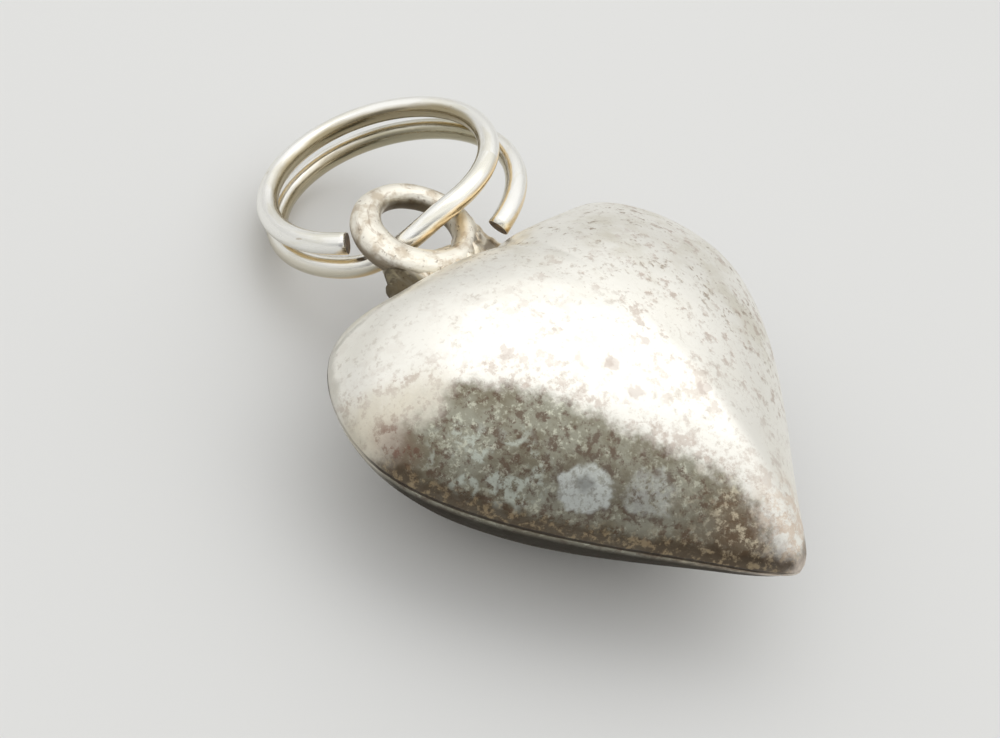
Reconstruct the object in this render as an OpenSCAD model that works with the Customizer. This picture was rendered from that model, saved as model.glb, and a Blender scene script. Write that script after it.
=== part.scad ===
// Puffed heart charm: two domed sheet-silver halves joined at a seam, a round
// wire eye soldered at the cleft, and a two-turn wire ring hanging in the eye.
// Sizes are in millimetres. The charm lies on its back, front face up (+Z),
// lobes towards +Y and tip towards -Y.

/* [Heart outline] */
// width of the heart across both lobes, at the seam
heart_w = 17; // [14:0.5:22]
// length of the heart from the lobe tops to the tip
heart_l = 15.15; // [13:0.05:20]
// distance between the two lobe tops
lobe_gap = 10.15; // [8:0.05:11.5]
// depth of the cleft below the lobe tops
cleft_d = 0.7; // [0.3:0.05:2]
// distance from the tip up to the widest place
widest_y = 10.8; // [9.5:0.1:11.5]
// lean of each side of the cleft away from the middle line, degrees
cleft_lean_angle = 27; // [15:1:45]
// lean of each side of the tip away from the middle line, degrees
tip_lean_angle = 48; // [35:1:55]

/* [Domes] */
// height of the front dome above the seam
front_h = 4.05; // [3:0.05:5]
// height of the back dome below the seam
back_h = 4.05; // [3:0.05:5]
// distance from the tip to the highest place of the front dome
front_top_y = 9.55; // [8.5:0.05:10.5]
// distance from the tip to the lowest place of the back dome
back_top_y = 9.35; // [8.5:0.05:10.5]
// thickness of the silver sheet
sheet_t = 0.5; // [0.35:0.05:0.8]
// width of the flat land where the two halves are joined
land_w = 0.7; // [0.5:0.05:1]

/* [Eye] */
// thickness of the wire of the eye
eye_wire = 0.93; // [0.7:0.01:1]
// diameter of the eye across the middle of its wire
eye_d = 3.58; // [3.5:0.02:4.4]
// sideways place of the eye, from the middle line
eye_x = -0.49; // [-0.6:0.01:0.6]
// distance from the cleft to the middle of the eye
eye_reach = 2.82; // [2.6:0.02:3.4]
// height of the eye above the seam
eye_lift = 0.34; // [0:0.02:0.5]

/* [Ring] */
// thickness of the ring wire
ring_wire = 0.8; // [0.6:0.02:0.82]
// diameter of the ring across the middle of its wire
ring_d = 8.2; // [7.6:0.1:10]
// distance between the middles of the two turns
ring_pitch = 1.04; // [0.95:0.01:1.2]
// angle the wire runs through from end to end, degrees
ring_angle = 658; // [640:1:668]
// how far the first end stands out from the ring
flare = 1.3; // [0.4:0.02:1.6]
// angle over which the first end eases back to the ring, degrees
flare_angle = 140; // [110:1:160]
// angle over which the lower turn climbs to the upper one, degrees
climb_angle = 58; // [50:1:70]
// compass direction in which the ring slopes down, degrees
ring_heading_angle = 124.7; // [115:0.1:130]
// room left between the low side of the ring and the table
table_gap = 0.25; // [0.1:0.05:0.6]

/* [Hidden] */
half_w = heart_w/2;
lobe_x = lobe_gap/2;
cleft_y = heart_l - cleft_d;
seam_z = back_h;

// reach of the curve handles that round the outline
cleft_pull = 1.3;
lobe_pull_in = 1.77;
lobe_pull_out = 1.83;
side_pull_up = 2.14;
side_pull_down = 3.04;
tip_pull = 6;

// points on each stretch of half the outline, and level rings up a dome
top_steps = 8;
shoulder_steps = 9;
side_steps = 15;
outer_levels = 13;
inner_levels = 9;

// roundness of a dome: towards the seam and towards its top
front_edge_power = 2.1;
front_crown_power = 1.6;
back_edge_power = 2.5;
back_crown_power = 1.3;
// half axes of the oval that the level rings grow into near the top
oval_x = 8.1;
oval_y = 6.8;

eye_r = eye_d/2;
eye_y = cleft_y + eye_reach;
eye_z = seam_z + eye_lift;

ring_r = ring_d/2;
ring_sides = 14;
eye_sides = 64;
eye_wire_sides = 24;
lump_sides = 20;
ring_step_angle = 6;
// where the middle of the ring wire crosses the eye, from the eye's middle
cross_x = -0.19;
cross_y = -0.07;
cross_z = -0.17;
// where along the ring it crosses the eye, from its low side, degrees
cross_angle = 478.4;
cross_past_angle = 3.8;
climb_start_angle = cross_angle - cross_past_angle - climb_angle/2;
first_end_angle = 150.5;
flare_end_angle = first_end_angle + flare_angle;
ring_stations = ceil(ring_angle/ring_step_angle);

// a smooth step from 0 to 1
function ease(u) = let (c = min(1, max(0, u))) c*c*(3 - 2*c);

// one point of a cubic curve with end points p and s and handles q and r
function curve(p, q, r, s, t) =
    pow(1 - t, 3)*p + 3*pow(1 - t, 2)*t*q + 3*(1 - t)*t*t*r + pow(t, 3)*s;

cleft_pt = [0, cleft_y];
lobe_pt = [lobe_x, heart_l];
side_pt = [half_w, widest_y];
tip_pt = [0, 0];

// right half of the outline, from the cleft to just before the tip
function right_half() = concat(
    [for (i = [0:top_steps - 1])
        curve(cleft_pt, cleft_pt + cleft_pull*[sin(cleft_lean_angle), cos(cleft_lean_angle)],
            lobe_pt - [lobe_pull_in, 0], lobe_pt, i/top_steps)],
    [for (i = [0:shoulder_steps - 1])
        curve(lobe_pt, lobe_pt + [lobe_pull_out, 0],
            side_pt + [0, side_pull_up], side_pt, i/shoulder_steps)],
    [for (i = [0:side_steps - 1])
        curve(side_pt, side_pt - [0, side_pull_down],
            tip_pt + tip_pull*[sin(tip_lean_angle), cos(tip_lean_angle)], tip_pt, i/side_steps)]);

// whole outline, clockwise from the cleft round the tip and back
function outline(h) = concat(h, [tip_pt],
    [for (i = [len(h) - 1:-1:1]) [-h[i].x, h[i].y]]);

heart = outline(right_half());
ring_pts = len(heart);

// outline point p drawn in towards the top of a dome at level f (1 seam, 0 top)
function level_pt(p, top, f) =
    let (v = p - top, a = atan2(v.y, v.x), k = 1/norm([cos(a)/oval_x, sin(a)/oval_y]))
    top + f*(f*v + (1 - f)*k*[cos(a), sin(a)]);

// all level rings of a dome; k shrinks it towards its top point
function dome_pts(top, h, edge, crown, k, levels) =
    [for (j = [0:levels - 1]) let (b = 90*j/levels, f = pow(cos(b), 2/edge))
        for (p = heart) let (q = top + k*(level_pt(p, top, f) - top))
            [q.x, q.y, h*pow(sin(b), 2/crown)]];

// faces between level rings starting at point number s, closed at the top
function dome_faces(s, levels, flip) =
    let (n = ring_pts, last = s + (levels - 1)*n, tip = s + levels*n)
    concat(
        [for (j = [0:levels - 2]) for (i = [0:n - 1])
            let (a = s + j*n + i, b = s + j*n + (i + 1)%n)
            each (flip ? [[b, a, a + n], [b, a + n, b + n]]
                       : [[a, b, a + n], [b, b + n, a + n]])],
        [for (i = [0:n - 1]) let (a = last + i, b = last + (i + 1)%n)
            flip ? [b, a, tip] : [a, b, tip]]);

// flat land between the outer edge and the inner edge (first point s)
function land_faces(s) =
    let (n = ring_pts)
    [for (i = [0:n - 1]) let (a = i, b = (i + 1)%n)
        each [[b, a, s + a], [b, s + a, s + b]]];

// one hollow half, dome upwards, open side on the plane of the seam
module half_shell(top_y, h, edge, crown) {
    top = [0, top_y];
    inner_h = h - sheet_t;
    outer = dome_pts(top, h, edge, crown, 1, outer_levels);
    inner = dome_pts(top, inner_h, edge, crown, 1 - land_w/half_w, inner_levels);
    s = len(outer) + 1;
    polyhedron(
        points = concat(outer, [[0, top_y, h]], inner, [[0, top_y, inner_h]]),
        faces = concat(dome_faces(0, outer_levels, false),
            dome_faces(s, inner_levels, true), land_faces(s)),
        convexity = 6);
}

// one half with the hollow filled, used to trim the solder
module half_solid(top_y, h, edge, crown) {
    outer = dome_pts([0, top_y], h, edge, crown, 1, outer_levels);
    polyhedron(
        points = concat(outer, [[0, top_y, h]]),
        faces = concat(dome_faces(0, outer_levels, false),
            [[for (i = [ring_pts - 1:-1:0]) i]]),
        convexity = 4);
}

// place along the ring wire at angle a, before the ring is tilted
function ring_rise(a) = ring_pitch*(ease((a - climb_start_angle)/climb_angle) - 0.5);
function ring_reach(a) = ring_r + flare*pow(max(0, (flare_end_angle - a)/flare_angle), 2);
function ring_pt(a) = [ring_reach(a)*cos(a), ring_reach(a)*sin(a), ring_rise(a)];
function unit(v) = v/norm(v);

cross_pt = ring_pt(cross_angle);

// tilt at which the low side of the ring just clears the table
low_run = ring_r*(1 - cos(cross_angle));
low_drop = cross_pt.z + ring_pitch/2;
low_fall = eye_z + cross_z - ring_wire/2 - table_gap;
ring_tilt = asin(low_fall/norm([low_run, low_drop])) - atan2(low_drop, low_run);

// how far up the page a point of the ring reaches once it is tilted
function ring_y(p) = let (d = p - cross_pt)
    eye_y + cross_y + cos(ring_heading_angle)*d.y
    + sin(ring_heading_angle)*(cos(ring_tilt)*d.x + sin(ring_tilt)*d.z);
ring_far = max([for (i = [0:ring_stations])
    ring_y(ring_pt(first_end_angle + i*ring_angle/ring_stations))]) + ring_wire/2;

// half the whole length, so that the charm sits centred on the origin
mid_y = ring_far/2;

function ring_section(a) =
    let (p = ring_pt(a), t = unit(ring_pt(a + 0.5) - ring_pt(a - 0.5)),
        e = [cos(a), sin(a), 0], u = unit(e - (e*t)*t), v = cross(t, u))
    [for (i = [0:ring_sides - 1]) let (q = 360*i/ring_sides)
        p + ring_wire/2*(cos(q)*u + sin(q)*v)];

module ring_sweep_body() {
    n = ring_sides;
    m = ring_stations;
    polyhedron(
        points = [for (i = [0:m]) each ring_section(first_end_angle + i*ring_angle/m)],
        faces = concat(
            [[for (i = [0:n - 1]) i]],
            [for (j = [0:m - 1]) for (i = [0:n - 1])
                let (a = j*n + i, b = j*n + (i + 1)%n)
                each [[a, a + n, b], [b, a + n, b + n]]],
            [[for (i = [n - 1:-1:0]) m*n + i]]),
        convexity = 10);
}

module eye_torus() {
    translate([eye_x, eye_y, eye_z])
        rotate_extrude($fn = eye_sides)
            translate([eye_r, 0])
                circle(d = eye_wire, $fn = eye_wire_sides);
}

// solder: thickness of a foot and its height over the seam
foot_d = 0.9;
foot_lift = 0.1;
// places on the eye, as angles, where the solder leaves it
left_leave_angle = 207;
right_leave_angle = 322;
under_leave_angle = 268;
foot_turn_angle = 18;
// where the feet run out on the lobes, and how far in from the lobe tops
left_foot_x = -3;
right_foot_x = 1.75;
foot_inset = 0.12;
// spread of the solder along the rim, from the foot towards the cleft
left_spread = 1.6;
right_spread = 1.2;
// thinning of a foot where it runs out, and its flatness there
run_out_ratio = 0.8;
run_out_flat_ratio = 0.85;

// a lump of solder of diameter d, flattened by k
module lump(x, y, d, k = 1) {
    translate([x, y, seam_z + foot_lift])
        scale([1, 1, k])
            sphere(d = d, $fn = lump_sides);
}

// a lump on the middle line of the eye's wire, at angle a
module eye_lump(a, d) {
    lump(eye_x + eye_r*cos(a), eye_y + eye_r*sin(a), d);
}

// one foot from the eye at angle a down to the rim of a lobe at x
module foot(a, x, spread) {
    hull() {
        eye_lump(a, foot_d);
        lump(x, heart_l - foot_inset, foot_d*run_out_ratio, run_out_flat_ratio);
        lump(x + spread, heart_l - cleft_d/2, foot_d, run_out_flat_ratio);
    }
}

module solder_lumps() {
    // under the eye, down into the cleft
    hull() {
        eye_lump(left_leave_angle + foot_turn_angle, foot_d);
        eye_lump(under_leave_angle, foot_d);
        eye_lump(right_leave_angle - foot_turn_angle, foot_d);
        lump(0, cleft_y, foot_d, run_out_flat_ratio);
    }
    foot(left_leave_angle, left_foot_x, left_spread);
    foot(right_leave_angle, right_foot_x, -right_spread);
}

module front_shell() {
    color("Silver")
        translate([0, -mid_y, seam_z])
            half_shell(front_top_y, front_h, front_edge_power, front_crown_power);
}

module back_shell() {
    color("DarkGray")
        translate([0, -mid_y, seam_z])
            mirror([0, 0, 1])
                half_shell(back_top_y, back_h, back_edge_power, back_crown_power);
}

module hanging_loop() {
    color("Tan")
        translate([0, -mid_y, 0])
            eye_torus();
}

module loop_solder() {
    color("RosyBrown")
        translate([0, -mid_y, 0])
            difference() {
                solder_lumps();
                eye_torus();
                translate([0, 0, seam_z])
                    half_solid(front_top_y, front_h, front_edge_power, front_crown_power);
                translate([0, 0, seam_z])
                    mirror([0, 0, 1])
                        half_solid(back_top_y, back_h, back_edge_power, back_crown_power);
            }
}

module double_ring() {
    color("WhiteSmoke")
        translate([eye_x + cross_x, eye_y + cross_y - mid_y, eye_z + cross_z])
            rotate([0, 0, ring_heading_angle])
                rotate([0, ring_tilt, 0])
                    translate(-cross_pt)
                        ring_sweep_body();
}

front_shell();
back_shell();
hanging_loop();
loop_solder();
double_ring();
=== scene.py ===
"""Puffed heart charm lying on a pale table: looks, floor, light and camera."""

import math

import bmesh
import bpy
from mathutils import Matrix, Vector, noise


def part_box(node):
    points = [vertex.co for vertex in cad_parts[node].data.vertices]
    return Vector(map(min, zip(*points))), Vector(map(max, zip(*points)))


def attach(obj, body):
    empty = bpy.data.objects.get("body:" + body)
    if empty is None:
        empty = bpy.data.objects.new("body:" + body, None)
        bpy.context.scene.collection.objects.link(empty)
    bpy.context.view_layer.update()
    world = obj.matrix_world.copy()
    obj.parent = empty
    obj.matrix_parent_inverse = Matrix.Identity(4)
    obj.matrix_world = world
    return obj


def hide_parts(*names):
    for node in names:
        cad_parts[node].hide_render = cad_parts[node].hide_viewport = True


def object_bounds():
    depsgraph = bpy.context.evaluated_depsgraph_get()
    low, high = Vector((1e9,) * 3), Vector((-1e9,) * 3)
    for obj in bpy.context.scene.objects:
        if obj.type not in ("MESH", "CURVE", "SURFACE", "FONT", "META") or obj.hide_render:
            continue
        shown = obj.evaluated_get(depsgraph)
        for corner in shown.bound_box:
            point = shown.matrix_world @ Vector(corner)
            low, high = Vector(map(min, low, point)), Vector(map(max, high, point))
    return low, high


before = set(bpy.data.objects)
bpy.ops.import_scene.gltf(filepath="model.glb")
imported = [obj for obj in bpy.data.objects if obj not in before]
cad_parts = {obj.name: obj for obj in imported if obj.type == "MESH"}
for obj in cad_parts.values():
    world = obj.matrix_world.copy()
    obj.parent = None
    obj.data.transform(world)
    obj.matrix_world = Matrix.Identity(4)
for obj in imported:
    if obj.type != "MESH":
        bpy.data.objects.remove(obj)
cad_low, cad_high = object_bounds()

MM = 0.001

# Places on the charm, in millimetres, in the frame of the CAD part
TIP_Y = cad_low.y / MM
SEAM_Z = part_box("back_shell")[1].z / MM
LOBE_TOP_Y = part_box("front_shell")[1].y / MM
EYE_LOW, EYE_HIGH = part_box("hanging_loop")
EYE = (EYE_LOW + EYE_HIGH) / (2 * MM)
EYE_WIRE = (EYE_HIGH.z - EYE_LOW.z) / MM
EYE_MEAN_R = (EYE_HIGH.x - EYE_LOW.x) / (2 * MM) - EYE_WIRE / 2
RING_CENTRE = Vector((1.34, 8.11, 3.16))
RING_HEADING = math.radians(124.7)
RING_TILT = math.radians(30.1)
RING_AXIS = Matrix.Rotation(RING_HEADING, 3, "Z") @ Matrix.Rotation(RING_TILT, 3, "Y") @ \
    Vector((0, 0, 1))

# The heart's near, left flank is the side of it that lies past a plane along the ridge
FLANK_FACING = (-0.791, -0.534, 0.3)
FLANK_AT = 7.783
# Where the flank's edge swells into the ridge, and its radii
SWELL = (-1.2, -8.9, 6.5)
SWELL_RADII = (1.6, 1.6, 1.5)
# Pale clouds on the flank: the oval one, the pit in it, its neighbour and the left one
OVAL = (-4.84, -6.9, 5.57)
OVAL_PIT = (-4.82, -6.85, 5.75)
NEXT_CLOUD = (-3.3, -8.2, 5.7)
LEFT_CLOUD = (-6.55, -4.75, 5.2)
# The reddish stain at the flank's left end
STAIN = (-8.05, -2.2, 4.9)
# Brown spots on the bright ridge, and their radius
RIDGE_SPOTS = ((-4.5, -2.6, 7.3), (-2.3, -4.8, 7.7), (-0.8, -4.8, 7.9), (-2.2, -5.9, 7.4),
               (-0.2, -7.0, 7.5))
RIDGE_SPOT = 0.24

# Heart halves: how sharp the edge at the seam is, and over which length of the tip it
# is softer
RIM_CREASE = 0.78
TIP_CREASE = 0.25
SOFT_TIP = 0.9
# How far up the tip is reshaped, how much fuller, longer and further right it gets, and
# the lip just above the seam that is drawn out most: its reach, height and thickness.
# From TIP_MIDDLE to either side the tip is fuller by the whole amount
TIP_REACH = 2.8
TIP_FULLNESS = 0.17
TIP_MIDDLE = 0.45
TIP_STRETCH = 0.12
TIP_SHIFT = 0.05
LIP_STRETCH = 0.22
LIP_RISE = 0.32
LIP_THICKNESS = 0.3
# Shallow dents: their depth, their two sizes, and how far from the seam they are whole
DENT_DEPTH = 0.045
WIDE_DENT = 2.3
SMALL_DENT = 1.1
DENT_FROM_SEAM = 1.6

# Eye wire, hammered wide on its near left: by how much, where round the eye, how evenly
# spread, on which side of the wire (up and inwards), and how far it rises there
EYE_SWELL = 0.27
EYE_SWELL_TURN = math.radians(192)
EYE_SWELL_SPREAD = 0.7
EYE_SWELL_UP = 0.65
EYE_SWELL_IN = 0.76
EYE_SWELL_LIFT = 0.15
# Thinner at the back, and uneven all round
EYE_THINNING = 0.03
EYE_THIN_TURN = math.radians(60)
EYE_UNEVEN = 0.02
EYE_UNEVEN_SIZE = 0.6
# Sides of the eye's wire and of the ring's wire that are browner: painted shade on the eye,
# painted shade and warm reflection on the ring
EYE_LOW_SIDE = Vector((-0.53, -0.44, -0.73))
RING_LOW_SIDE = Vector((0.22, -0.93, -0.30))
STRAIGHT_UP = Vector((0, 0, 1))

# Solder on the eye's wire: place round the eye in degrees, how far outside the
# middle of the wire, how far below it, and thickness
WIRE_LUMPS = ((206, 0.0, 0.2, 0.96), (222, 0.0, 0.15, 1.02), (238, 0.05, 0.1, 1.0),
              (254, 0.05, 0.06, 1.0), (270, 0.05, 0.06, 1.02), (286, 0.08, 0.06, 1.02),
              (302, 0.14, 0.08, 1.06), (316, 0.2, 0.1, 1.06), (330, 0.22, 0.14, 1.0),
              (344, 0.2, 0.18, 0.92), (356, 0.1, 0.2, 0.8))
# Solder along the rim: sideways place, place from the lobe tops, and size
RIM_LUMPS = ((-3.0, -0.05, 0.8), (-2.8, 0.35, 0.85), (-2.4, 0.1, 0.9), (-1.5, -0.3, 0.85),
             (-0.7, -0.5, 0.8), (0.2, -0.6, 0.8), (1.0, -0.3, 0.9), (1.6, -0.05, 0.9),
             (1.5, 0.35, 0.95), (1.42, 0.75, 0.9), (1.38, 1.15, 0.85), (1.3, 1.5, 0.75),
             (1.1, 0.5, 0.95), (1.0, 1.0, 0.9))
# How high over the seam the rim's lumps lie, and how much they are flattened
RIM_LUMP_RISE = 0.1
RIM_LUMP_FLAT = 0.8
# Grain that the lumps run together at, and the bumps on the finished run
SOLDER_GRAIN = 0.04
SOLDER_BUMP_SIZE = 0.35
SOLDER_BUMP_DEPTH = 0.06

# Side that the sawn ends of the ring are nearly edge-on to, how nearly, and the width
# of the rounded rim of each end
NEAR_SIDE = Vector((-0.631, -0.363, 0.685)).normalized()
CUT_ANGLE = math.radians(9)
CUT_RIM = 0.04

# The view: where the camera stands round the charm and above it, how far it is rolled,
# the point it looks at, its distance, and its lens as a share of the picture's width
VIEW_ROUND = math.radians(-60.112)
VIEW_ABOVE = math.radians(43.26)
VIEW_ROLL = math.radians(21.146)
VIEW_AIM = Vector((1.5503, 0.935, 0))
VIEW_DISTANCE = 61.467
VIEW_LENS = 1.7304
FILM_WIDTH = 36
# The lamp panel over the far side: its place, its aim, its two sides and how pale it is
LAMP_PLACE = (34, 18, 120)
LAMP_AIM = (0, 0, 4)
LAMP_WIDTH = 165
LAMP_LENGTH = 85
LAMP_TONE = 0.4
# The room: the direction of its far side, and the tones overhead, all round and near
ROOM_FAR_SIDE = (0.62, 0.75, 0.20)
ROOM_TOP = (1.01, 1.01, 1.0)
ROOM_WALLS = (0.70, 0.70, 0.69)
ROOM_NEAR = (0.30, 0.30, 0.31)
# Half the side of the table top, in metres
TABLE_HALF = 0.6


class Field:
    """A value that changes over a surface. Sums and products add Math nodes."""

    def __init__(self, patterns, socket):
        self.patterns = patterns
        self.socket = socket

    def __add__(self, other):
        return self.patterns.math("ADD", self, other)

    def __radd__(self, other):
        return self.patterns.math("ADD", other, self)

    def __sub__(self, other):
        return self.patterns.math("SUBTRACT", self, other)

    def __rsub__(self, other):
        return self.patterns.math("SUBTRACT", other, self)

    def __mul__(self, other):
        return self.patterns.math("MULTIPLY", self, other)

    def __rmul__(self, other):
        return self.patterns.math("MULTIPLY", other, self)


class Patterns:
    """Adds nodes to one node tree, and gives back their outputs as fields."""

    def __init__(self, tree):
        self.nodes = tree.nodes
        self.links = tree.links

    def node(self, kind, settings=None, values=None, output=0):
        """Adds a node, sets it up, fills its sockets and returns one output."""
        made = self.nodes.new(kind)
        for label, value in (settings or {}).items():
            setattr(made, label, value)
        for label, value in (values or {}).items():
            if isinstance(value, Field):
                self.links.new(value.socket, made.inputs[label])
            else:
                made.inputs[label].default_value = value
        return Field(self, made.outputs[output])

    def math(self, operation, first, second=0.0):
        return self.node("ShaderNodeMath", {"operation": operation}, {0: first, 1: second})

    def most(self, *fields):
        """The highest of several fields."""
        high = fields[0]
        for field in fields[1:]:
            high = self.math("MAXIMUM", high, field)
        return high

    def part(self, vector, axis):
        return self.node("ShaderNodeSeparateXYZ", None, {0: vector}, output=axis)

    def step(self, value, low, high):
        """0 below low, 1 above high, smooth between. Works downwards too."""
        return self.node("ShaderNodeMapRange", {"interpolation_type": "SMOOTHSTEP"},
                         {"Value": value, "From Min": low, "From Max": high})

    def vector(self, operation, first, second, output="Vector"):
        label = "Scale" if operation == "SCALE" else 1
        return self.node("ShaderNodeVectorMath", {"operation": operation},
                         {0: first, label: second}, output=output)

    def mix(self, first, second, amount):
        """Colour first where amount is 0, colour second where it is 1."""
        ends = [c if isinstance(c, Field) else (*c, 1) for c in (first, second)]
        return self.node("ShaderNodeMix", {"data_type": "RGBA"},
                         {0: amount, 6: ends[0], 7: ends[1]}, output=2)


class Finish(Patterns):
    """One finish: a Principled shader and the patterns that feed it."""

    def __init__(self, name, **shader_values):
        self.material = bpy.data.materials.new(name)
        self.material.use_nodes = True
        super().__init__(self.material.node_tree)
        self.shader = self.nodes["Principled BSDF"]
        for label, value in shader_values.items():
            self.shader.inputs[label.replace("_", " ")].default_value = value
        place = self.node("ShaderNodeTexCoord", output="Object")
        self.mm = self.vector("SCALE", place, 1 / MM)
        self.metal = None

    def noise(self, size, detail=3.0, roughness=0.5, place=None, seed=0.0, output="Fac"):
        """Cloudy pattern with features about size millimetres across, 0 to 1."""
        return self.node("ShaderNodeTexNoise", {"noise_dimensions": "4D"},
                         {"Vector": place or self.mm, "W": seed, "Scale": 1 / size,
                          "Detail": detail, "Roughness": roughness}, output=output)

    def uneven(self, amount, size, detail=3.0, roughness=0.5, seed=0.0):
        """Cloudy pattern that runs either side of zero, amount from end to end."""
        return (self.noise(size, detail, roughness, seed=seed) - 0.5) * amount

    def spots(self, size, place):
        """Distance to the middle of the nearest cell, in cells of that size."""
        return self.node("ShaderNodeTexVoronoi", None, {"Vector": place, "Scale": 1 / size},
                         output="Distance")

    def kept(self, name):
        """A value that was stored on the mesh, point by point."""
        return self.node("ShaderNodeAttribute", {"attribute_name": name}, output="Fac")

    def wobble(self, size, amount, seed):
        """Object place pushed about by a noise, so that edges run ragged."""
        push = self.noise(size, seed=seed, output="Color")
        return self.vector("ADD", self.mm,
                           self.vector("SCALE", self.vector("SUBTRACT", push, (0.5, 0.5, 0.5)),
                                       amount))

    def blob(self, centre, radii, place, soft):
        """1 inside an oval about centre, falling to 0 past its edge."""
        ratio = self.vector("DIVIDE", self.vector("SUBTRACT", place, centre), radii)
        reach = self.vector("LENGTH", ratio, (0, 0, 0), output="Value")
        return self.step(reach, 1 + soft, 1 - soft)

    def lay(self, colour, amount):
        """Lays a colour over the metal, fully where amount is 1."""
        self.metal = self.mix(self.metal, colour, amount)

    def feed(self, **fields):
        """Links fields to the shader's sockets."""
        for label, field in fields.items():
            self.links.new(field.socket, self.shader.inputs[label.replace("_", " ")])

    def relief(self, height, depth):
        """Fine surface relief, depth in millimetres."""
        self.feed(Normal=self.node("ShaderNodeBump", None,
                                   {"Height": height, "Distance": depth * MM,
                                    "Strength": 1.0}))


class WireFinish(Finish):
    """A finish for bent wire: it knows the way out from its axis, up it and round it."""

    def __init__(self, name, centre, tilt=0.0, heading=0.0, **shader_values):
        super().__init__(name, **shader_values)
        turn = (Matrix.Rotation(heading, 4, "Z") @ Matrix.Rotation(tilt, 4, "Y")).inverted()
        moved = self.vector("SUBTRACT", self.mm, centre)
        turned = self.node("ShaderNodeMapping", {"vector_type": "POINT"},
                           {"Vector": moved, "Rotation": turn.to_euler("XYZ")}, output="Vector")
        x, y, self.rise = (self.part(turned, axis) for axis in "XYZ")
        self.out = self.math("SQRT", x * x + y * y)
        self.angle = self.math("ARCTAN2", y, x)

    def along(self, squeeze):
        """Place in which a noise is drawn out along the wire, more so the lower squeeze."""
        return self.node("ShaderNodeCombineXYZ", None,
                         {0: self.out, 1: self.rise, 2: self.angle * squeeze}, output="Vector")


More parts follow.
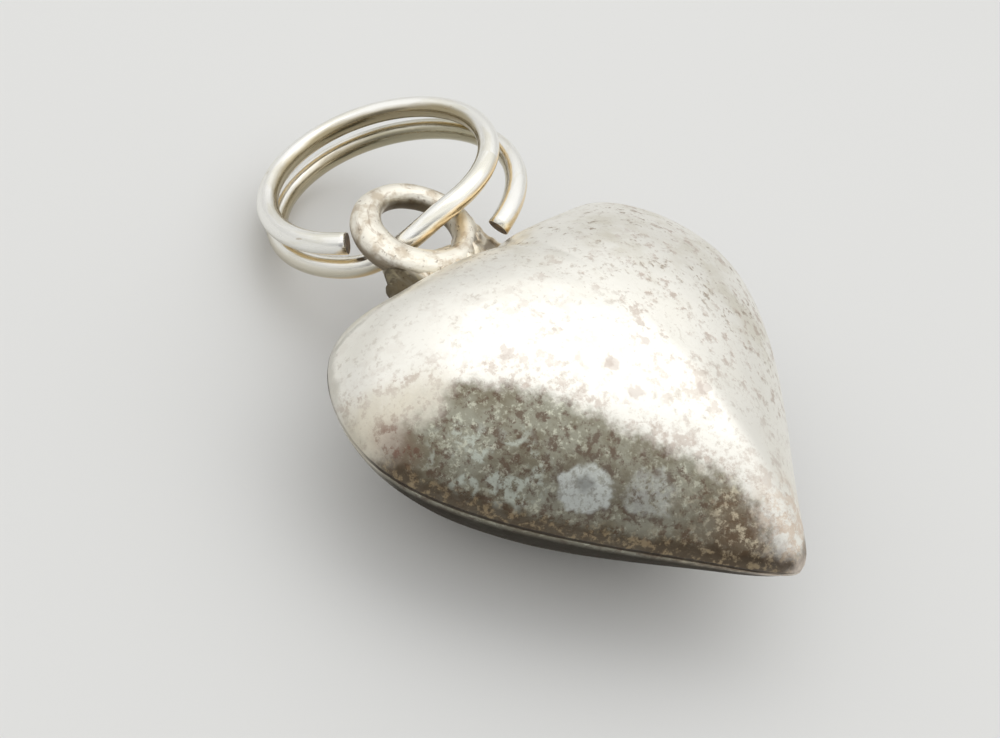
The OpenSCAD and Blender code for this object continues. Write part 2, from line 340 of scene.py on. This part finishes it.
class HeartFinish(Finish):
    """Worn silver: bright pale metal, brown pits, a near flank of old tarnish and painted dark
    reflection.
    """

    PINK_BROWN = (0.49, 0.385, 0.32)
    GREY_BROWN = (0.42, 0.35, 0.28)
    NEAR_BLACK = (0.055, 0.042, 0.032)

    def __init__(self):
        super().__init__("worn heart silver with painted shade", Metallic=1.0, Roughness=0.4)
        self.x, self.y, self.z = (self.part(self.mm, axis) for axis in "XYZ")
        self.from_seam = self.math("ABSOLUTE", self.z - SEAM_Z)
        self.below = self.vector("DOT_PRODUCT", self.mm, FLANK_FACING, output="Value") - FLANK_AT
        swell = self.blob(SWELL, SWELL_RADII, self.mm, 0.7) * 0.22
        border = self.below + swell - 0.3 * self.step(self.y, TIP_Y + 2.2, TIP_Y + 0.5)
        self.border = border + self.uneven(1.0, 0.6, 5.0, 0.68, seed=1.0)
        self.flank = self.step(self.border, -0.06, 0.42)
        self.left_end = self.step(self.y + self.uneven(1.6, 0.8, 4.0, 0.6, seed=1.5), -2.75, -1.5)
        self.tip = self.step(self.y + self.uneven(3.0, 0.9, 4.0, 0.6, seed=2.0),
                             TIP_Y + 4.2, TIP_Y + 1.2)
        self.cloudy = self.noise(1.6, 5.0, 0.62, seed=5.0)
        self.blotch = self.step(self.noise(0.32, 5.0, 0.70, seed=11.0), 0.49, 0.60)
        self.gilt = self.step(self.noise(0.24, 4.0, 0.68, seed=17.0), 0.49, 0.62)

    def open_silver(self):
        """Bright silver: a cloudy tone, then soft marks, fine specks and a few spots."""
        right_side = self.step(self.below, -3.6, -6.2)
        ridge_side = self.step(self.below, -4.6, -1.0)
        calm = self.step(self.y - 0.35 * self.x, -1.8, 0.6)
        self.metal = self.mix((0.95, 0.93, 0.865), (0.80, 0.765, 0.665),
                              self.step(self.cloudy, 0.44, 0.66) * (0.2 + 0.75 * right_side))
        drift = self.step(self.noise(2.2, seed=6.0), 0.36, 0.52)
        marks = self.step(self.noise(0.48, 5.0, 0.68, seed=7.0) + 0.03 * ridge_side, 0.525, 0.64)
        self.mark = marks * drift * (0.66 - 0.48 * calm) * (1 - 0.45 * ridge_side)
        small = self.step(self.noise(0.25, 3.0, 0.6, self.wobble(0.3, 0.32, 8.0), 9.5), 0.53, 0.68)
        dense = self.step(self.noise(0.9, 3.0, 0.6, seed=9.0), 0.40, 0.56)
        self.speck = small * dense * (0.34 + 0.62 * right_side)
        pins = self.step(self.noise(0.13, 2.0, 0.6, seed=9.8), 0.60, 0.72)
        self.lay(self.PINK_BROWN, self.mark)
        self.lay(self.GREY_BROWN, self.most(self.speck, pins * (0.4 - 0.2 * ridge_side)))
        spread = self.wobble(0.3, 0.75, 23.0)
        spots = (self.blob(spot, (RIDGE_SPOT,) * 3, spread, 0.3) for spot in RIDGE_SPOTS)
        self.lay((0.50, 0.42, 0.375), self.most(*spots) * 0.5)

    def tarnish_and_dark_reflection(self):
        """Grey-olive ground, partly tarnish and partly painted dark reflection, with fine brown
        blotches and pale flecks.
        """
        smudge = self.step(self.noise(1.2, 4.0, 0.62, seed=11.5), 0.42, 0.60)
        fleck = self.step(self.noise(0.22, 4.0, 0.70, seed=12.0), 0.52, 0.64)
        # The grey-olive ground is partly painted dark reflection of the near side and partly
        # tarnish
        tarnish = self.mix((0.36, 0.35, 0.28), (0.245, 0.22, 0.16), smudge)
        tarnish = self.mix(tarnish, (0.14, 0.09, 0.065), self.blotch * 0.75)
        return self.mix(tarnish, (0.76, 0.77, 0.63), fleck * (0.62 - 0.3 * smudge))

    def clouded(self, tarnish):
        """Pale blue-grey clouds on the flank's ground, ragged, pitted and darkly edged."""
        loops = self.math("ABSOLUTE", self.spots(0.95, self.wobble(0.5, 0.6, 12.5)) - 0.40)
        netted = self.step(self.noise(0.22, 4.0, 0.66, seed=16.0), 0.42, 0.56)
        left = self.blob(LEFT_CLOUD, (1.9, 1.9, 1.15), self.wobble(1.1, 1.5, 3.0), 0.35)
        left = left * (1 - self.step(self.y, -5.6, -6.6))
        tarnish = self.mix(tarnish, (0.62, 0.66, 0.58),
                           left * self.step(loops, 0.17, 0.04) * netted * 0.85)
        place = self.wobble(0.3, 0.55, 14.0)
        oval = self.blob(OVAL, (0.84, 0.84, 0.72), place, 0.12)
        beside = self.blob(NEXT_CLOUD, (0.8, 0.75, 0.65), self.wobble(0.5, 1.1, 15.0), 0.25)
        shade = self.most(self.blob(OVAL, (1.15, 1.12, 1.0), place, 0.2),
                          self.blob(NEXT_CLOUD, (1.05, 1.0, 0.9), place, 0.3) * 0.7)
        mottle = self.step(self.noise(0.2, 4.0, 0.68, seed=13.0), 0.38, 0.54)
        tarnish = self.mix(tarnish, (0.19, 0.16, 0.125), shade * (0.2 + 0.5 * self.blotch))
        tarnish = self.mix(tarnish, (0.69, 0.72, 0.68),
                           self.most(oval * (0.42 + 0.52 * mottle),
                                     beside * (0.08 + 0.4 * mottle)))
        return self.mix(tarnish, (0.22, 0.215, 0.20),
                        self.blob(OVAL_PIT, (0.24, 0.3, 0.3), place, 0.5) * 0.6)

    def flank_tarnish_and_reflection(self):
        """The tarnish and painted dark reflection on the flank, and a brown fringe where it meets
        the ridge.
        """
        fringe = self.step(self.border, -0.75, 0.05) * (1 - self.flank)
        self.lay(self.PINK_BROWN, fringe * self.blotch * 0.55)
        self.lay(self.clouded(self.tarnish_and_dark_reflection()), self.flank * (1 - self.left_end))

    def tan_left_end(self):
        """The flank's left end: pale tan, blushed, with one reddish stain."""
        tan = self.mix((0.72, 0.655, 0.52), (0.42, 0.32, 0.23), self.blotch * 0.7)
        self.lay(tan, self.step(self.border, -0.4, 0.7) * self.left_end * 0.7)
        stain = self.blob(STAIN, (0.6, 0.75, 0.6), self.wobble(0.6, 0.8, 21.0), 0.7)
        self.lay((0.23, 0.125, 0.09), stain * (0.4 + 0.4 * self.blotch))

    def golden_tip(self):
        """Golden brown with bright flecks on the flank at the tip, blushed beside it."""
        golden = self.mix((0.23, 0.16, 0.10), (1.0, 0.87, 0.64), self.gilt * 0.8)
        self.lay(golden, self.tip * self.flank * 0.85)
        blush = self.step(self.noise(0.42, 5.0, 0.70, seed=17.5), 0.44, 0.56)
        blush = blush * self.step(self.y, TIP_Y + 3.0, TIP_Y + 1.2)
        blush = blush * self.step(self.below, -2.2, -1.0)
        self.lay((0.66, 0.49, 0.35), blush * (1 - self.flank) * 0.55)

    def seam_and_underside(self):
        """A golden brown band above the seam, a dark underside of painted shade and reflection,
        and a dark seam line.
        """
        near_side = self.step(self.below, -1.5, 0.2) * (1 - 0.7 * self.left_end)
        edge = self.from_seam + self.uneven(0.7, 0.5, seed=4.0)
        band = self.step(edge, 0.85, 0.35) * self.step(self.z, SEAM_Z - 0.1, SEAM_Z + 0.1)
        self.band = band * (1 - 0.9 * self.left_end)
        self.lay(self.mix((0.075, 0.05, 0.03), (0.44, 0.33, 0.19), self.gilt * 0.6),
                 self.band * (0.2 + 0.7 * near_side))
        self.lay((0.40, 0.38, 0.32), self.step(edge, 0.6, 0.2) * (0.5 - 0.4 * near_side))
        # Below the seam: painted shade and dark reflection with some dark tarnish, darkest on the
        # near side
        under = self.step(self.z, SEAM_Z - 0.05, SEAM_Z - 0.5)
        self.lay((0.15, 0.13, 0.095), under * (0.6 + 0.2 * self.blotch) * (1 - 0.5 * near_side))
        self.near_under = under * near_side
        self.lay((0.045, 0.038, 0.03),
                 self.near_under * self.step(self.z, SEAM_Z - 2.8, SEAM_Z - 1.2) * 0.9)
        line = self.step(self.from_seam + self.uneven(0.05, 0.3, seed=4.5), 0.085, 0.03)
        line = line * self.step(self.y, TIP_Y + 0.1, TIP_Y + 1.0)
        rubbed = self.step(self.y, -2.3, -1.2) * self.step(self.y, 1.4, 0.4)
        self.seam = line * (1 - 0.75 * rubbed * self.step(self.x, 0.0, -4.0))
        self.lay(self.NEAR_BLACK, self.seam * 0.85)

    def lobe_top_line(self):
        """A yellowish strip and a darker line along the top of the near lobe, broken by cloudy
        patches.
        """
        edge = self.y + self.uneven(0.3, 0.5, seed=22.0)
        side = self.step(self.x, -3.4, -4.6) * self.step(self.z, SEAM_Z + 0.2, SEAM_Z + 0.5)
        side = side * self.step(self.cloudy, 0.36, 0.56)
        side = side * self.step(self.z, SEAM_Z + 2.0, SEAM_Z + 1.0)
        self.lay((0.70, 0.68, 0.55), self.step(edge, 1.9, 2.15) * side * 0.35)
        line = self.step(self.math("ABSOLUTE", edge - 1.95), 0.14, 0.03)
        self.lay((0.42, 0.40, 0.33), line * side * 0.6)

    def rubbed_tip(self):
        """The very end of the tip is rubbed bright."""
        end = self.step(self.y + self.uneven(0.5, 0.3, 3.0, 0.6, seed=24.0), TIP_Y + 0.45, TIP_Y)
        self.lay((0.88, 0.78, 0.69), end * self.step(self.z, SEAM_Z - 0.2, SEAM_Z + 0.1) * 0.8)

    def gloss_and_grain(self):
        """Duller where it is marked or tarnished, with a fine grain, pits and the seam."""
        dull = self.most(self.speck, self.mark * 0.7, self.flank * 0.75, self.tip * 0.8,
                         self.band * 0.8, self.seam, self.near_under * 2.4)
        self.feed(Base_Color=self.metal,
                  Roughness=0.31 + 0.2 * dull + self.uneven(0.1, 0.6, seed=18.0))
        grain = self.noise(0.17, 3.0, 0.6, seed=19.0)
        self.relief(grain * (0.3 + 0.5 * self.flank) + self.noise(0.8, 2.0, seed=20.0) * 0.8
                    - self.most(self.speck, self.mark) * 0.5 - self.seam, 0.016)


def heart_finish():
    """The heart's worn silver, laid on from the open metal to the last wear."""
    heart = HeartFinish()
    heart.open_silver()
    heart.flank_tarnish_and_reflection()
    heart.tan_left_end()
    heart.golden_tip()
    heart.seam_and_underside()
    heart.lobe_top_line()
    heart.rubbed_tip()
    heart.gloss_and_grain()
    return heart.material


def eye_finish():
    """Tarnished wire, whitish with tan patches, grooved along; brown lower down is painted shade.
    """
    wire = WireFinish("tarnished eye wire with painted shade", EYE, Metallic=1.0, Roughness=0.42)
    up = wire.kept("faces_up")
    low = wire.kept("faces_low")
    grooves = wire.noise(0.13, 3.0, 0.6, wire.along(0.35), 1.0)
    patchy = wire.noise(0.7, 4.0, 0.6, seed=2.0)
    specks = wire.step(wire.noise(0.2, 3.0, 0.6, seed=3.0), 0.60, 0.70)
    wire.metal = wire.mix((0.91, 0.87, 0.77), (0.60, 0.515, 0.40),
                          wire.step(patchy, 0.46, 0.62) * 0.85)
    wire.lay((0.40, 0.31, 0.235), wire.step(grooves, 0.55, 0.68) * 0.55)
    # Painted shade: brown where the wire faces down
    wire.lay((0.30, 0.235, 0.17), wire.step(up + (patchy - 0.5), 0.3, -0.4) * 0.7)
    # Painted shade: darker brown on the wire's low near side
    wire.lay((0.17, 0.13, 0.08), wire.step(low + (patchy - 0.5) * 0.7, 0.0, 0.6) * 0.85)
    wire.lay((0.16, 0.11, 0.08), specks * 0.5)
    wire.feed(Base_Color=wire.metal, Roughness=0.33 + 0.2 * patchy + 0.1 * specks)
    wire.relief(grooves + patchy * 0.5, 0.03)
    return wire.material


def solder_finish():
    """Rough solder: cream crests and tan streaks; dark painted shade low down and on the near left
    foot.
    """
    run = Finish("rough solder", Metallic=1.0, Roughness=0.45)
    x, y, z = (run.part(run.mm, axis) for axis in "XYZ")
    lumps = run.noise(0.38, 4.0, 0.6, seed=1.0)
    streaks = run.noise(0.3, 3.0, 0.6, run.vector("MULTIPLY", run.mm, (1.0, 0.35, 0.6)), 2.0)
    pits = run.step(run.noise(0.2, 3.0, 0.6, seed=4.0), 0.60, 0.70)
    shaded = run.step(z + 0.5 * (lumps - 0.5), SEAM_Z + 0.2, SEAM_Z - 0.3)
    near_foot = run.step(x, -1.35, -2.1) * run.step(z, SEAM_Z + 1.0, SEAM_Z + 0.5)
    near_foot = near_foot * run.step(x + 0.5 * y, -0.15, -0.7)
    run.metal = run.mix((0.98, 0.92, 0.79), (0.66, 0.55, 0.40),
                        run.step(streaks, 0.47, 0.62) * 0.8)
    run.lay((0.30, 0.225, 0.155), run.step(lumps, 0.56, 0.68) * 0.6)
    # Painted shade: dark low down and on the near left foot
    run.lay((0.085, 0.065, 0.034), run.most(shaded * 0.7, near_foot * 0.92))
    run.lay((0.36, 0.31, 0.20), near_foot * run.step(streaks, 0.50, 0.40) * 0.55)
    run.lay((0.10, 0.07, 0.045), pits * 0.55)
    run.feed(Base_Color=run.metal, Roughness=0.42 + 0.2 * near_foot)
    run.relief(lumps + streaks * 0.5 - pits * 0.4, 0.04)
    return run.material


def ring_finish():
    """Bright drawn silver wire: fine draw lines, golden brown on its low side as painted warm
    reflection and shade.
    """
    wire = WireFinish("bright ring wire", RING_CENTRE, RING_TILT, RING_HEADING,
                      Metallic=1.0, Roughness=0.22)
    up = wire.kept("faces_up")
    low = wire.kept("faces_low")
    inwards = wire.kept("faces_in")
    cut = wire.kept("cut_end")
    lines = wire.noise(0.06, 2.0, 0.6, wire.along(0.2), 1.0)
    smears = wire.noise(0.5, 4.0, 0.55, wire.along(0.8), 2.0)
    ticks = wire.step(wire.noise(0.26, 3.0, 0.6, wire.along(1.2), 3.0), 0.65, 0.72)
    # Painted shade: the lower turn, which the upper turn shades
    lower_turn = wire.step(wire.rise, 0.15, -0.35)
    # Painted shadow: the top of the far turn, under the turn above it
    far_turn = wire.step(wire.rise, 0.08, -0.08) * wire.step(wire.angle, -2.6, -2.2)
    far_turn = far_turn * wire.step(wire.angle, -0.95, -1.35)
    # Painted shade: olive on the inner and downward faces
    shaded = wire.most(inwards - 0.25 * up, 0.1 - up * 0.5) + (smears - 0.5) * 0.7
    # Painted warm reflection: golden on the outer low faces
    golden = wire.step(low + (smears - 0.5) * 0.3, 0.35, 0.7) * wire.step(inwards, 0.45, 0.1)
    sawn = wire.mix((0.24, 0.155, 0.085), (0.09, 0.06, 0.035),
                    wire.step(wire.noise(0.2, seed=4.0), 0.4, 0.6))
    wire.metal = wire.mix((0.95, 0.94, 0.90), (0.84, 0.81, 0.70),
                          wire.step(smears, 0.46, 0.62) * 0.7)
    wire.lay((0.34, 0.275, 0.15), wire.step(shaded, 0.2, 0.75) * 0.9)
    wire.lay((0.56, 0.50, 0.36), lower_turn * wire.step(up, 0.75, 0.1) * 0.6)
    wire.lay((0.40, 0.375, 0.27), far_turn * (0.45 + 0.35 * smears))
    wire.lay((0.86, 0.65, 0.35), golden * (0.85 - 0.75 * far_turn))
    wire.lay((0.36, 0.25, 0.12), ticks * 0.5)
    wire.lay(sawn, wire.step(cut, 0.3, 0.8) * 0.95)
    wire.feed(Base_Color=wire.metal,
              Roughness=0.16 + 0.12 * wire.step(lines, 0.4, 0.7) + 0.2 * ticks + 0.4 * cut)
    wire.relief(lines * (1 - cut), 0.006)
    return wire.material


def table_finish():
    """Plain pale table, very slightly clouded."""
    table = Finish("pale table", Roughness=0.6)
    table.feed(Base_Color=table.mix((0.74, 0.74, 0.73), (0.77, 0.77, 0.76),
                                    table.noise(30.0, 2.0)))
    return table.material


def copy_of(node, name, *stored):
    """A mesh of its own from a CAD node, merged into one closed skin.

    It gets a layer for sharp edges and one for each value to be stored on its points.
    """
    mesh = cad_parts[node].data.copy()
    mesh.name = name
    mesh.materials.clear()
    shape = bmesh.new()
    shape.from_mesh(mesh)
    bmesh.ops.remove_doubles(shape, verts=shape.verts, dist=0.002 * MM)
    bmesh.ops.join_triangles(shape, faces=shape.faces, angle_face_threshold=0.6,
                             angle_shape_threshold=1.2)
    shape.edges.layers.float.new("crease_edge")
    for value in stored:
        shape.verts.layers.float.new(value)
    return shape, mesh


def finished(shape, mesh, node, body, material, levels=0):
    """Puts a shaped mesh in the scene as a smooth piece riding on its body."""
    shape.normal_update()
    for face in shape.faces:
        face.smooth = True
    shape.to_mesh(mesh)
    shape.free()
    piece = bpy.data.objects.new(mesh.name, mesh)
    bpy.context.scene.collection.objects.link(piece)
    mesh.materials.append(material)
    if levels:
        smooth = piece.modifiers.new("rounding", "SUBSURF")
        smooth.levels = smooth.render_levels = levels
    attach(piece, body)
    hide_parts(node)
    return piece


def crease(shape, chosen, amount):
    """Keeps the chosen edges sharp, from 0, round, to 1, sharp."""
    layer = shape.edges.layers.float["crease_edge"]
    for edge in chosen:
        edge[layer] = amount


def store_facing(shape, value, side):
    """Stores on each point how squarely the surface there faces a side."""
    layer = shape.verts.layers.float[value]
    for point in shape.verts:
        point[layer] = point.normal.dot(side)


def lump(shape, x, y, z, size, flat=1.0):
    """Adds a round lump of solder, in millimetres; flat squashes it downwards."""
    place = Matrix.Translation(Vector((x, y, z)) * MM) @ Matrix.Diagonal((1, 1, flat, 1))
    bmesh.ops.create_icosphere(shape, subdivisions=2, radius=size / 2 * MM, matrix=place)


def blunt_tip(point):
    """Makes the tip fuller and longer, most of all at the lip above the seam."""
    place = point.co / MM
    near = max(0.0, 1 - (place.y - TIP_Y) / TIP_REACH)
    blunt = near * min(1.0, abs(place.x) / TIP_MIDDLE)
    lip = math.exp(-((place.z - SEAM_Z - LIP_RISE) / LIP_THICKNESS) ** 2)
    point.co.x += (math.copysign(TIP_FULLNESS * blunt, place.x) + TIP_SHIFT * near ** 2) * MM
    point.co.y -= (TIP_STRETCH + LIP_STRETCH * lip) * near ** 2 * MM


def heart_half(node, name, material):
    """One domed half: a tight edge at the seam, a blunt tip and shallow dents."""
    shape, mesh = copy_of(node, name)
    rim = [e for e in shape.edges
           if all(abs(v.co.z / MM - SEAM_Z) < 0.01 for v in e.verts)]
    soft = [e for e in rim if all(v.co.y / MM < TIP_Y + SOFT_TIP for v in e.verts)]
    crease(shape, rim, RIM_CREASE)
    crease(shape, soft, TIP_CREASE)
    for point in shape.verts:
        place = point.co / MM
        blunt_tip(point)
        away = min(1.0, abs(place.z - SEAM_Z) / DENT_FROM_SEAM)
        wide = noise.noise(place / WIDE_DENT)
        small = noise.noise(place / SMALL_DENT + Vector((7, 3, 5)))
        point.co += point.normal * (DENT_DEPTH * away * (wide + 0.5 * small) * MM)
    finished(shape, mesh, node, "charm", material, 2)


def wire_eye(material):
    """The eye: hand-bent wire, thinner at the back, hammered wide on its near left."""
    shape, mesh = copy_of("hanging_loop", "wire_eye", "faces_up", "faces_low")
    for point in shape.verts:
        place = point.co / MM - EYE
        angle = math.atan2(place.y, place.x)
        outwards = point.normal.dot(Vector((math.cos(angle), math.sin(angle), 0)))
        inner_top = max(0.0, EYE_SWELL_UP * point.normal.z - EYE_SWELL_IN * outwards)
        near_left = max(0.0, math.cos(angle - EYE_SWELL_TURN)) ** EYE_SWELL_SPREAD
        thinned = EYE_THINNING * max(0.0, math.cos(angle - EYE_THIN_TURN))
        uneven = EYE_UNEVEN * noise.noise(place / EYE_UNEVEN_SIZE)
        point.co += point.normal * ((uneven - thinned) * MM)
        point.co += Vector((-math.cos(angle), -math.sin(angle), EYE_SWELL_LIFT)) * \
            (EYE_SWELL * near_left * inner_top * MM)
    shape.normal_update()
    store_facing(shape, "faces_up", STRAIGHT_UP)
    store_facing(shape, "faces_low", EYE_LOW_SIDE)
    finished(shape, mesh, "hanging_loop", "charm", material, 1)


def solder_feet(material):
    """Solder that runs from the lower half of the eye down to both lobes."""
    shape, mesh = copy_of("loop_solder", "solder_feet")
    for degrees, out, drop, size in WIRE_LUMPS:
        turn = math.radians(degrees)
        lump(shape, EYE.x + (EYE_MEAN_R + out) * math.cos(turn),
             EYE.y + (EYE_MEAN_R + out) * math.sin(turn), EYE.z - drop, size)
    for x, y, size in RIM_LUMPS:
        lump(shape, x, LOBE_TOP_Y + y, SEAM_Z + RIM_LUMP_RISE, size, RIM_LUMP_FLAT)
    piece = finished(shape, mesh, "loop_solder", "charm", material)
    joined = piece.modifiers.new("run together", "REMESH")
    joined.mode = "VOXEL"
    joined.voxel_size = SOLDER_GRAIN * MM
    joined.use_smooth_shade = True
    flow = piece.modifiers.new("flow", "SMOOTH")
    flow.factor = 0.5
    flow.iterations = 16
    clouds = bpy.data.textures.new("solder lumps", "CLOUDS")
    clouds.noise_scale = SOLDER_BUMP_SIZE * MM
    rough = piece.modifiers.new("uneven", "DISPLACE")
    rough.texture = clouds
    rough.strength = SOLDER_BUMP_DEPTH * MM
    rough.mid_level = 0.5


def lean_end(face):
    """Slants a flat end of the ring until it is nearly edge-on to the near side."""
    straight = face.normal.copy()
    middle = face.calc_center_median()
    lean = (NEAR_SIDE - straight * NEAR_SIDE.dot(straight)).normalized()
    slope = math.tan(math.asin(NEAR_SIDE.dot(straight)) - CUT_ANGLE)
    for point in face.verts:
        point.co += straight * (slope * (point.co - middle).dot(lean))


def store_inwards(shape, value):
    """Stores on each point of the ring how squarely it faces the ring's axis."""
    layer = shape.verts.layers.float[value]
    for point in shape.verts:
        away = point.co / MM - RING_CENTRE
        away -= RING_AXIS * away.dot(RING_AXIS)
        point[layer] = -point.normal.dot(away.normalized())


def two_turn_ring(material):
    """The ring, with flat ends sawn a little aslant."""
    shape, mesh = copy_of("double_ring", "two_turn_ring",
                          "faces_up", "faces_low", "faces_in", "cut_end")
    rims = [e for e in shape.edges if e.calc_face_angle(0) > 1.0]
    points = {v for e in rims for v in e.verts}
    ends = [f for f in shape.faces if all(v in points for v in f.verts)]
    ends = bmesh.ops.dissolve_faces(shape, faces=ends)["region"]
    crease(shape, [e for f in ends for e in f.edges], 1.0)
    shape.normal_update()
    for face in ends:
        lean_end(face)
    shape.normal_update()
    bmesh.ops.inset_individual(shape, faces=ends, thickness=CUT_RIM * MM)
    shape.normal_update()
    store_facing(shape, "faces_up", STRAIGHT_UP)
    store_facing(shape, "faces_low", RING_LOW_SIDE)
    store_inwards(shape, "faces_in")
    cut = shape.verts.layers.float["cut_end"]
    for face in ends:
        for point in face.verts:
            point[cut] = 1.0
    finished(shape, mesh, "double_ring", "ring", material, 1)


def table_top(material):
    """A plain flat floor under the charm."""
    shape = bmesh.new()
    bmesh.ops.create_grid(shape, x_segments=1, y_segments=1, size=TABLE_HALF)
    mesh = bpy.data.meshes.new("table_top")
    shape.to_mesh(mesh)
    shape.free()
    top = bpy.data.objects.new("table_top", mesh)
    bpy.context.scene.collection.objects.link(top)
    mesh.materials.append(material)


def panel(name, place, aim, width, length, brightness):
    """A soft lamp panel; brightness is how pale it looks, 1 for white."""
    light = bpy.data.lights.new(name, "AREA")
    light.shape = "RECTANGLE"
    light.size = width * MM
    light.size_y = length * MM
    light.energy = brightness * math.pi * light.size * light.size_y
    holder = bpy.data.objects.new(name, light)
    bpy.context.scene.collection.objects.link(holder)
    at = Vector(place) * MM
    holder.matrix_world = Matrix.Translation(at) @ \
        (Vector(aim) * MM - at).to_track_quat("-Z", "Y").to_matrix().to_4x4()


def surroundings():
    """A soft room: white above, pale all round, darker on the near side."""
    world = bpy.data.worlds.new("studio")
    world.use_nodes = True
    room = Patterns(world.node_tree)
    look = room.node("ShaderNodeTexCoord", output="Generated")
    side = room.vector("DOT_PRODUCT", look, ROOM_FAR_SIDE, output="Value")
    height = room.part(look, "Z")
    lit = room.mix(ROOM_WALLS, ROOM_TOP, room.step(height, 0.12, 0.62))
    tone = room.mix(ROOM_NEAR, lit, room.step(side, -0.86, -0.28))
    room.links.new(tone.socket, room.nodes["Background"].inputs["Color"])
    bpy.context.scene.world = world


def camera():
    """The photograph's view: over the near lobe, turned on its side a little."""
    back = Vector((math.sin(VIEW_ROUND) * math.cos(VIEW_ABOVE),
                   -math.cos(VIEW_ROUND) * math.cos(VIEW_ABOVE), math.sin(VIEW_ABOVE)))
    level = STRAIGHT_UP.cross(back).normalized()
    upright = back.cross(level)
    right = math.cos(VIEW_ROLL) * level + math.sin(VIEW_ROLL) * upright
    up = -math.sin(VIEW_ROLL) * level + math.cos(VIEW_ROLL) * upright
    data = bpy.data.cameras.new("view")
    data.lens = FILM_WIDTH * VIEW_LENS
    data.sensor_width = FILM_WIDTH
    data.clip_start = 0.002
    data.clip_end = 5
    holder = bpy.data.objects.new("view", data)
    bpy.context.scene.collection.objects.link(holder)
    place = VIEW_AIM + back * VIEW_DISTANCE
    turn = Matrix((right, up, back)).transposed().to_4x4()
    holder.matrix_world = Matrix.Translation(place * MM) @ turn
    bpy.context.scene.camera = holder


heart_silver = heart_finish()
heart_half("front_shell", "front_dome", heart_silver)
heart_half("back_shell", "back_dome", heart_silver)
wire_eye(eye_finish())
solder_feet(solder_finish())
two_turn_ring(ring_finish())
table_top(table_finish())
panel("key panel", LAMP_PLACE, LAMP_AIM, LAMP_WIDTH, LAMP_LENGTH, LAMP_TONE)
surroundings()
camera()
bpy.context.scene.view_settings.view_transform = "Standard"
